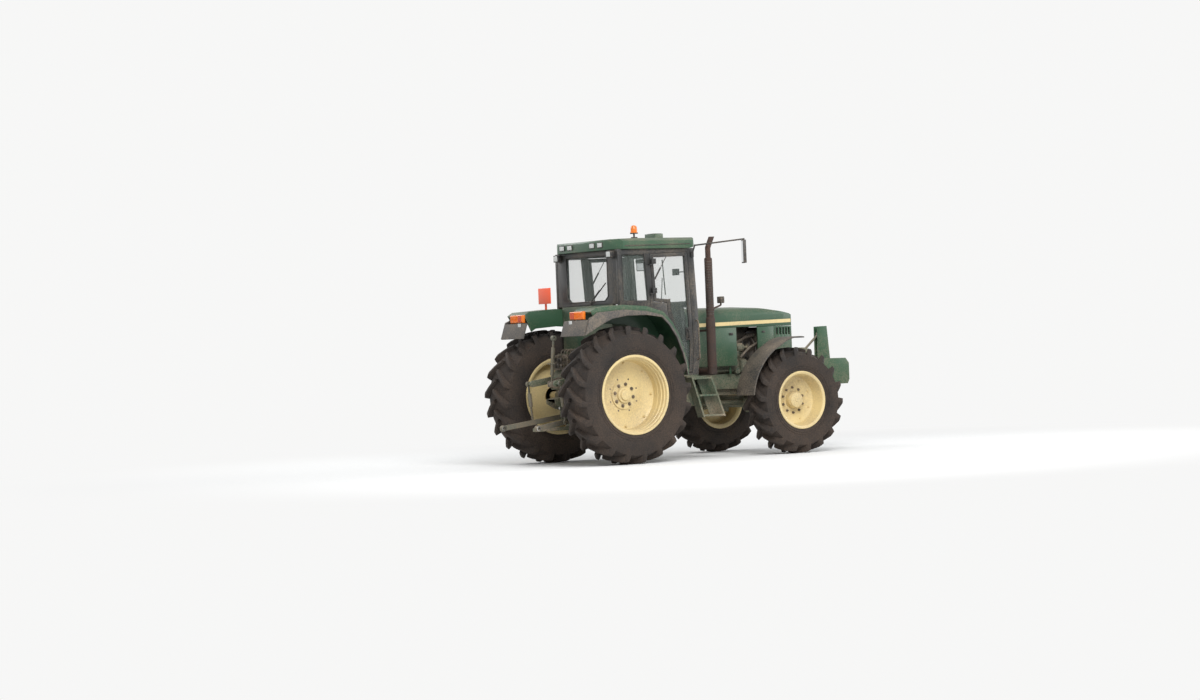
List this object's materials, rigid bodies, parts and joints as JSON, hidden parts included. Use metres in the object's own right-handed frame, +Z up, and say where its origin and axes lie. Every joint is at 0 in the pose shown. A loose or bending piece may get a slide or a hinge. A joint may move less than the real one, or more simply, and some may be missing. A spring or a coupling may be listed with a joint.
{
  "type": "farm tractor",
  "caption": "Four-wheel-drive row-crop farm tractor with glazed cab, rear three-point linkage and a ballast block on a front linkage.",
  "frame": {"origin": "middle of the whole machine's length and width, on the floor", "axes": "+X forward, +Y to the driver's left, +Z up"},
  "size_m": [5.0712, 2.5666, 3.0869],
  "materials": {
    "body_green": "semi-gloss dark green, dusty",
    "chassis_green": "worn satin green",
    "engine_green": "oily matt green",
    "block_green": "satin green",
    "rim_yellow": "satin creamy yellow",
    "dark_frame": "satin near black",
    "black_metal": "matt black",
    "tyre": "dusty rubber",
    "grey_rubber": "matt grey",
    "dark_grey_plastic": "matt dark grey",
    "black_plastic": "matt black",
    "amber_plastic": "clear amber",
    "orange_plastic": "orange red",
    "seat_fabric": "dark woven",
    "rusty_steel": "rusty dark brown",
    "link_steel": "dull, dusty",
    "bare_steel": "worn bright",
    "window_glass": "slightly dusty"
  },
  "bodies": {
    "tractor": {"beacon": "amber_plastic", "cab_body": "chassis_green", "cab_front_frame": "dark_frame", "cab_glass": "window_glass", "cab_rear_frame": "dark_frame", "cab_roof": "body_green", "cab_side_frame_left": "dark_frame", "cab_side_frame_right": "dark_frame", "controls": "black_plastic", "cowl": "chassis_green", "engine_block": "engine_green", "exhaust_stack": "rusty_steel", "fender_flares": "grey_rubber", "frame_rails": "chassis_green", "front_axle_beam": "chassis_green", "fuel_tank": "black_plastic", "hitch_frame": "chassis_green", "ladders": "chassis_green", "mirrors": "black_plastic", "nose_grille": "body_green", "radiator": "black_metal", "rear_fender_left": "body_green", "rear_fender_right": "body_green", "rear_lamps": "amber_plastic", "remote_valves": "black_metal", "seat": "seat_fabric", "side_panels": "body_green", "tool_box": "chassis_green", "transmission_housing": "chassis_green", "warning_panel": "orange_plastic", "work_lamps": "black_plastic"},
    "rear_wheel_left": {"rear_tyre_left": "tyre", "rear_rim_left": "rim_yellow"},
    "front_wheel_left": {"front_tyre_left": "tyre", "front_rim_left": "rim_yellow"},
    "knuckle_left": {"knuckle_left": "chassis_green", "front_fender_left": "dark_grey_plastic"},
    "door_left": {"door_frame_left": "dark_frame", "door_glass_left": "window_glass"},
    "rear_wheel_right": {"rear_tyre_right": "tyre", "rear_rim_right": "rim_yellow"},
    "front_wheel_right": {"front_tyre_right": "tyre", "front_rim_right": "rim_yellow"},
    "knuckle_right": {"knuckle_right": "chassis_green", "front_fender_right": "dark_grey_plastic"},
    "door_right": {"door_frame_right": "dark_frame", "door_glass_right": "window_glass"},
    "tie_rod": {"tie_rod": "chassis_green"},
    "hood": {"hood": "body_green"},
    "lift_arms": {"lift_arms": "chassis_green"},
    "lift_rods": {"lift_rods": "link_steel"},
    "lower_links": {"lower_links": "link_steel"},
    "top_link": {"top_link": "link_steel"},
    "pto_shaft": {"pto_shaft": "bare_steel"},
    "front_arms": {"front_arms": "chassis_green"},
    "front_top_link": {"front_top_link": "link_steel"},
    "ballast_block": {"ballast_block": "block_green"}
  },
  "joints": [
    {"name": "rear_wheel_spin_left", "type": "hinge", "parent": "tractor", "child": "rear_wheel_left", "pos_m": [-1.46374, 0.92, 0.885], "axis": [0, 1, 0], "continuous": true},
    {"name": "rear_wheel_spin_right", "type": "hinge", "parent": "tractor", "child": "rear_wheel_right", "pos_m": [-1.46374, -0.92, 0.885], "axis": [0, 1, 0], "continuous": true},
    {"name": "steer_right", "type": "hinge", "parent": "tractor", "child": "knuckle_right", "pos_m": [1.18626, -0.74, 0.705], "axis": [0, 0, 1], "range_deg": [-35, 35]},
    {"name": "steer_left", "type": "hinge", "parent": "tractor", "child": "knuckle_left", "pos_m": [1.18626, 0.74, 0.705], "axis": [0, 0, 1], "range_deg": [-35, 35]},
    {"name": "tie_rod_pivot", "type": "hinge", "parent": "knuckle_right", "child": "tie_rod", "pos_m": [0.91626, -0.74, 0.64], "axis": [0, 0, 1], "range_deg": [-35, 35]},
    {"name": "front_wheel_spin_left", "type": "hinge", "parent": "knuckle_left", "child": "front_wheel_left", "pos_m": [1.18626, 0.945, 0.705], "axis": [0, 1, 0], "continuous": true},
    {"name": "front_wheel_spin_right", "type": "hinge", "parent": "knuckle_right", "child": "front_wheel_right", "pos_m": [1.18626, -0.945, 0.705], "axis": [0, 1, 0], "continuous": true},
    {"name": "door_left_hinge", "type": "hinge", "parent": "tractor", "child": "door_left", "pos_m": [-0.88974, 0.8, 2.2], "axis": [0, 0, 1], "range_deg": [0, 70]},
    {"name": "door_right_hinge", "type": "hinge", "parent": "tractor", "child": "door_right", "pos_m": [-0.88974, -0.8, 2.2], "axis": [0, 0, -1], "range_deg": [0, 70]},
    {"name": "hood_hinge", "type": "hinge", "parent": "tractor", "child": "hood", "pos_m": [-0.08174, 0, 1.92], "axis": [0, -1, 0], "range_deg": [0, 50]},
    {"name": "lift", "type": "hinge", "parent": "tractor", "child": "lift_arms", "pos_m": [-1.71374, 0, 1.12], "axis": [0, 1, 0], "range_deg": [-14, 40]},
    {"name": "lower_link_pivot", "type": "hinge", "parent": "tractor", "child": "lower_links", "pos_m": [-1.66374, 0, 0.62], "axis": [0, 1, 0], "range_deg": [-14, 40]},
    {"name": "lift_rod_pivot", "type": "hinge", "parent": "lift_arms", "child": "lift_rods", "pos_m": [-2.10984, 0, 1.06433], "axis": [0, 1, 0], "range_deg": [-40, 14]},
    {"name": "top_link_pivot", "type": "hinge", "parent": "tractor", "child": "top_link", "pos_m": [-1.99374, 0, 1.05], "axis": [0, -1, 0], "range_deg": [0, 100]},
    {"name": "pto_spin", "type": "hinge", "parent": "tractor", "child": "pto_shaft", "pos_m": [-1.86374, 0, 0.74], "axis": [1, 0, 0], "continuous": true},
    {"name": "front_lift", "type": "hinge", "parent": "tractor", "child": "front_arms", "pos_m": [1.80326, 0, 0.74], "axis": [0, -1, 0], "range_deg": [-75, 8]},
    {"name": "ballast_pivot", "type": "hinge", "parent": "front_arms", "child": "ballast_block", "pos_m": [2.05626, 0, 0.953], "axis": [0, -1, 0], "range_deg": [-8, 75]},
    {"name": "front_top_link_pivot", "type": "hinge", "parent": "tractor", "child": "front_top_link", "pos_m": [2.11226, 0, 1.356], "axis": [0, -1, 0], "range_deg": [-75, 8]}
  ],
  "couplings": [
    {"joint": "steer_left", "follows": "steer_right", "ratio": 1},
    {"joint": "tie_rod_pivot", "follows": "steer_right", "ratio": -1},
    {"joint": "lower_link_pivot", "follows": "lift", "ratio": 1},
    {"joint": "lift_rod_pivot", "follows": "lift", "ratio": -1},
    {"joint": "ballast_pivot", "follows": "front_lift", "ratio": -1},
    {"joint": "front_top_link_pivot", "follows": "front_lift", "ratio": 1}
  ]
}
